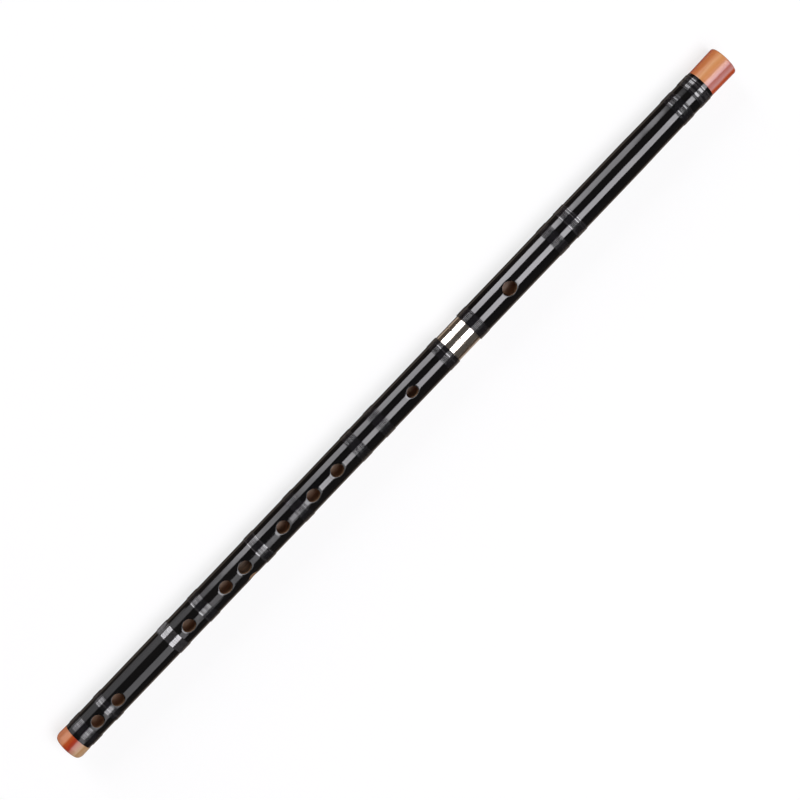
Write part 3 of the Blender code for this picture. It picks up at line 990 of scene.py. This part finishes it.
# Layers of the end rings: (place across the view, colour)
HEAD_CAP_COLOURS = (
    (-10.8, (0.36, 0.08, 0.03)),
    (-9.3, (0.46, 0.14, 0.045)),
    (-7.0, (0.50, 0.18, 0.06)),
    (-4.2, (0.58, 0.28, 0.12)),
    (-2.0, (0.54, 0.23, 0.085)),
    (0.4, (0.56, 0.24, 0.11)),
    (1.8, (0.60, 0.27, 0.18)),
    (4.2, (0.52, 0.22, 0.20)),
    (5.2, (0.42, 0.13, 0.10)),
    (8.2, (0.52, 0.25, 0.23)),
    (9.4, (0.48, 0.12, 0.06)),
    (10.2, (0.42, 0.05, 0.01)),
)
FOOT_CAP_COLOURS = (
    (-10.8, (0.44, 0.14, 0.06)),
    (-8.8, (0.46, 0.16, 0.07)),
    (-7.0, (0.50, 0.20, 0.10)),
    (-4.0, (0.52, 0.20, 0.09)),
    (-2.8, (0.37, 0.07, 0.015)),
    (0.0, (0.33, 0.035, 0.01)),
    (1.6, (0.30, 0.035, 0.015)),
    (2.8, (0.42, 0.16, 0.12)),
    (5.0, (0.48, 0.26, 0.17)),
    (7.0, (0.52, 0.35, 0.21)),
    (8.0, (0.41, 0.23, 0.11)),
    (9.6, (0.44, 0.27, 0.14)),
)

bamboo = [
    lacquer(),
    cut_bamboo("cut_bamboo", 0.7),
    bore_bamboo(),
    cut_bamboo("dark_wall_bamboo", 0.6),
]
threads = [
    thread("lacquered_thread", (0.0035, 0.0033, 0.0045), (0.0075, 0.0070, 0.0088)),
    # The paler thread paints a highlight on the turns that take it
    thread("painted_highlight_thread", (0.022, 0.021, 0.022), (0.034, 0.032, 0.033)),
]
metal = nickel_silver()

body_face_x = BODY_BINDINGS[0][1]
body_tube = bamboo_tube(
    "bamboo_body",
    bamboo,
    BODY_BINDINGS,
    BODY_HOLES,
    body_radius,
    tube_end(FOOT_SHOULDER_X, FOOT_SPIGOT_X, FOOT_SPIGOT_R),
    tube_end(body_face_x, TENON_SEAT_X, TENON_SEAT_R),
)
place(body_tube, "body_tube", "body_section")
head_face_x = HEAD_BINDINGS[0][0]
head_tube = bamboo_tube(
    "bamboo_head",
    bamboo,
    HEAD_BINDINGS,
    HEAD_HOLES,
    head_radius,
    tube_end(head_face_x, SLEEVE_SEAT_X, SLEEVE_SEAT_R),
    tube_end(HEAD_SHOULDER_X, HEAD_SPIGOT_X, HEAD_SPIGOT_R),
)
place(head_tube, "head_tube", "head_section")

for section, bands, radius_at, first_seed in (
    ("body", BODY_BINDINGS, body_radius, BODY_SEED),
    ("head", HEAD_BINDINGS, head_radius, HEAD_SEED),
):
    for number, (low, high) in enumerate(bands, 1):
        node = f"{section}_binding_{number}"
        seed = first_seed + number - 1
        lie = THREAD_LIES.get(f"{section}_{number}", PLAIN_LIE)
        name = f"thread_{section}_{number}"
        band = winding(name, low, high, radius_at, threads, seed, lie)
        place(band, node, f"{section}_section")

foot_resin = banded_resin("foot_resin", FOOT_CAP_COLOURS)
foot_cap = turned("resin_foot_ring", cap_outline(FOOT_CAP), foot_resin)
place(foot_cap, "foot_cap", "body_section")
head_resin = banded_resin("head_resin", HEAD_CAP_COLOURS)
head_cap = turned("resin_head_ring", cap_outline(HEAD_CAP), head_resin)
place(head_cap, "head_cap", "head_section")
body_ferrule = turned("ferrule_body", sleeve_outline(BODY_FERRULE), metal)
place(body_ferrule, "body_ferrule", "body_section")
head_ferrule = turned("ferrule_head", sleeve_outline(HEAD_FERRULE), metal)
place(head_ferrule, "head_ferrule", "head_section")
tenon = turned("tenon", sleeve_outline(TENON), metal)
place(tenon, "tenon_tube", "body_section")
sleeve = turned("socket_sleeve_tube", sleeve_outline(SOCKET_SLEEVE), metal)
place(sleeve, "socket_sleeve", "joint_sleeve")
stopper = turned("cork_stopper", sleeve_outline(STOPPER), cork())
place(stopper, "head_stopper", "head_section")


# Stage, lamps and camera


def stage_floor():
    """Plain pale floor, which glows where it is seen and keeps the flute's shadow."""
    finish = Finish("pale_floor")
    mottle = finish.noise(9.0, detail=4.0)
    finish.set(
        Base_Color=finish.ramp(mottle, [(0.3, (0.93, 0.93, 0.93)), (0.7, (0.945, 0.945, 0.945))]),
        Roughness=0.9,
        Specular_IOR_Level=0.0,
    )
    path = finish.add("ShaderNodeLightPath")
    seen = finish.math("MAXIMUM", path.outputs["Is Camera Ray"], path.outputs["Is Glossy Ray"])
    seen = finish.math("MAXIMUM", seen, path.outputs["Is Transmission Ray"])
    glow = finish.add("ShaderNodeEmission")
    glow.inputs["Color"].default_value = (1.0, 1.0, 1.0, 1.0)
    mix = finish.add("ShaderNodeMixShader")
    finish.join(finish.math("MULTIPLY", seen, FLOOR_GLOW), mix.inputs[0])
    finish.join(finish.shader.outputs[0], mix.inputs[1])
    finish.join(glow.outputs[0], mix.inputs[2])
    finish.join(mix.outputs[0], finish.output.inputs[0])
    sides = ((-1.0, -1.0), (1.0, -1.0), (1.0, 1.0), (-1.0, 1.0))
    corners = [(x * FLOOR_HALF, y * FLOOR_HALF, FLOOR_Z) for x, y in sides]
    floor = make_mesh("floor", corners, [(0, 1, 2, 3)], [finish.material])


def reflection_card(name, low_y, high_y, low_x, high_x, colour, height):
    """Card on the floor beside the flute, seen only in reflections, where its colour is a painted
    reflection.

    low_x and high_x are the flute's places whose mirror image the camera sees at its ends.
    """
    finish = Finish(name)
    finish.set(Base_Color=(*colour, 1.0), Roughness=0.9, Specular_IOR_Level=0.0)
    near, far = (1.0 + abs(y) / CAMERA_DISTANCE for y in (low_y, high_y))
    corners = [
        (low_x * near, low_y, height),
        (high_x * near, low_y, height),
        (high_x * far, high_y, height),
        (low_x * far, high_y, height),
    ]
    card = make_mesh(name, corners, [(0, 1, 2, 3)], [finish.material])
    card.visible_camera = False
    card.visible_diffuse = False
    card.visible_transmission = False
    card.visible_shadow = False


def strip_lamp(name, low_angle, high_angle, profile):
    """Long soft box along the flute that spans a range of angles round it from the view.

    profile gives (flute x whose mirror image the camera sees there, radiance).
    """
    middle = math.radians(0.5 * (low_angle + high_angle))
    half_width = LAMP_DISTANCE * math.tan(math.radians(0.5 * (high_angle - low_angle)))
    direction = VIEW * math.cos(middle) + ACROSS * math.sin(middle)
    mirrored = 1.0 + LAMP_DISTANCE / CAMERA_DISTANCE
    low_x, high_x = profile[0][0] * mirrored, profile[-1][0] * mirrored
    peak = max(radiance for x, radiance in profile)
    light = bpy.data.lights.new(name, "AREA")
    light.shape = "RECTANGLE"
    light.size = (high_x - low_x) * MM
    light.size_y = 2.0 * half_width * MM
    light.energy = peak * math.pi * light.size * light.size_y
    light.use_nodes = True
    tree = light.node_tree
    emission = next(node for node in tree.nodes if node.type == "EMISSION")
    geometry = tree.nodes.new("ShaderNodeNewGeometry")
    split = tree.nodes.new("ShaderNodeSeparateXYZ")
    ramp = tree.nodes.new("ShaderNodeValToRGB")
    tree.links.new(geometry.outputs["Parametric"], split.inputs[0])
    tree.links.new(split.outputs[0], ramp.inputs[0])
    tree.links.new(ramp.outputs[0], emission.inputs["Color"])
    elements = ramp.color_ramp.elements
    while len(elements) < len(profile):
        elements.new(1.0)
    for element, (x, radiance) in zip(elements, profile):
        element.position = (x * mirrored - low_x) / (high_x - low_x)
        element.color = (*(radiance / peak * level for level in LAMP_TINT), 1.0)
    lamp = bpy.data.objects.new(name, light)
    bpy.context.scene.collection.objects.link(lamp)
    side = direction.cross(ALONG)
    turn = Matrix((ALONG, side, direction)).transposed()
    at = Vector((0.5 * (low_x + high_x), 0.0, AXIS_Z)) + direction * LAMP_DISTANCE
    lamp.matrix_world = Matrix.Translation(at * MM) @ turn.to_4x4()
    lamp.visible_camera = False


stage_floor()
for card in CARDS:
    reflection_card(*card)
for lamp in LAMPS:
    strip_lamp(*lamp)

world = bpy.data.worlds.new("dim_room")
bpy.context.scene.world = world
world.use_nodes = True
world.node_tree.nodes["Background"].inputs["Color"].default_value = (*ROOM, 1.0)

camera_data = bpy.data.cameras.new("camera")
camera_data.lens = LENS
camera_data.sensor_width = SENSOR
camera_data.clip_end = CAMERA_REACH * MM
camera = bpy.data.objects.new("camera", camera_data)
bpy.context.scene.collection.objects.link(camera)
right = ALONG * math.cos(FLUTE_SLOPE) - ACROSS * math.sin(FLUTE_SLOPE)
up = ALONG * math.sin(FLUTE_SLOPE) + ACROSS * math.cos(FLUTE_SLOPE)
target = Vector((AIM_X, 0.0, AXIS_Z)) + ACROSS * AIM_ACROSS
turn = Matrix((right, up, VIEW)).transposed()
camera.matrix_world = Matrix.Translation((target + VIEW * CAMERA_DISTANCE) * MM) @ turn.to_4x4()
bpy.context.scene.camera = camera
bpy.context.scene.view_settings.view_transform = "Standard"
